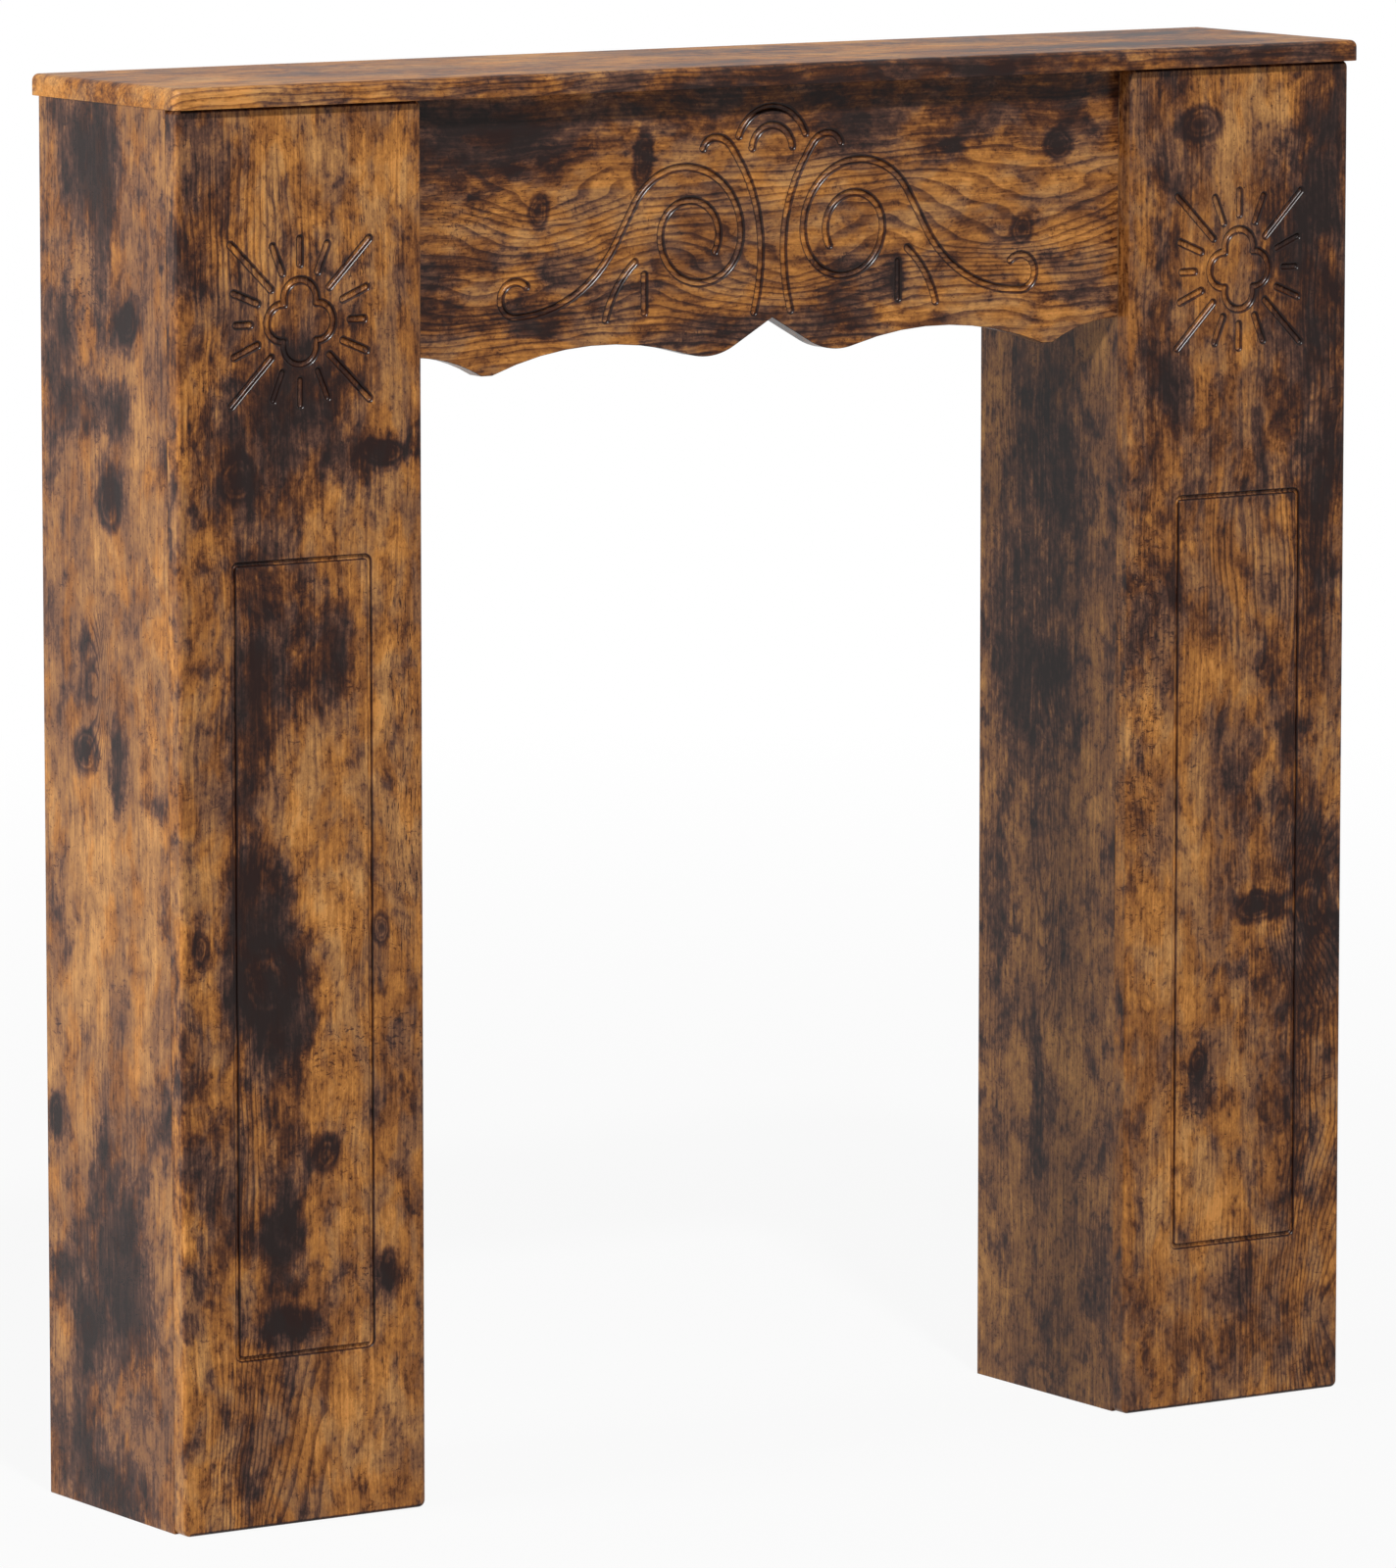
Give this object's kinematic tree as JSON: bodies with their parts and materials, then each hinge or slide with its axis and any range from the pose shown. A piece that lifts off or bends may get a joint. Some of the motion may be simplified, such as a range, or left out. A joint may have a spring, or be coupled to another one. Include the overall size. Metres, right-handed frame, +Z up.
{
  "type": "fireplace surround",
  "caption": "Free-standing fireplace surround: two box columns with routed sunbursts and panels, a scalloped header with a routed scroll ornament and a mantel shelf.",
  "frame": {"origin": "on the floor, midway between the two columns and midway between the shelf's front edge and the wall face", "axes": "+X to the right as seen from the room, +Y towards the wall, +Z up; the front boards face -Y"},
  "size_m": [1, 0.195, 1],
  "materials": {
    "rustic_board": "rustic brown wood-print foil on fibreboard, satin",
    "cam_zinc": "bare die-cast zinc",
    "bolt_steel": "zinc-plated steel",
    "dowel_beech": "plain turned beech"
  },
  "bodies": {
    "root": {"mantel_shelf": "rustic_board", "header_panel": "rustic_board", "back_rail": "rustic_board", "left_front_board": "rustic_board", "left_outer_side": "rustic_board", "left_inner_side": "rustic_board", "left_top_rail": "rustic_board", "left_bottom_rail": "rustic_board", "right_front_board": "rustic_board", "right_outer_side": "rustic_board", "right_inner_side": "rustic_board", "right_top_rail": "rustic_board", "right_bottom_rail": "rustic_board", "left_column_cams": "cam_zinc", "right_column_cams": "cam_zinc", "header_cams": "cam_zinc", "back_rail_cams": "cam_zinc", "shelf_cams": "cam_zinc", "left_column_cam_bolts": "bolt_steel", "right_column_cam_bolts": "bolt_steel", "header_cam_bolts": "bolt_steel", "back_rail_cam_bolts": "bolt_steel", "shelf_cam_bolts": "bolt_steel", "left_column_dowels": "dowel_beech", "right_column_dowels": "dowel_beech", "header_dowels": "dowel_beech", "back_rail_dowels": "dowel_beech", "shelf_dowels": "dowel_beech"}
  },
  "joints": []
}
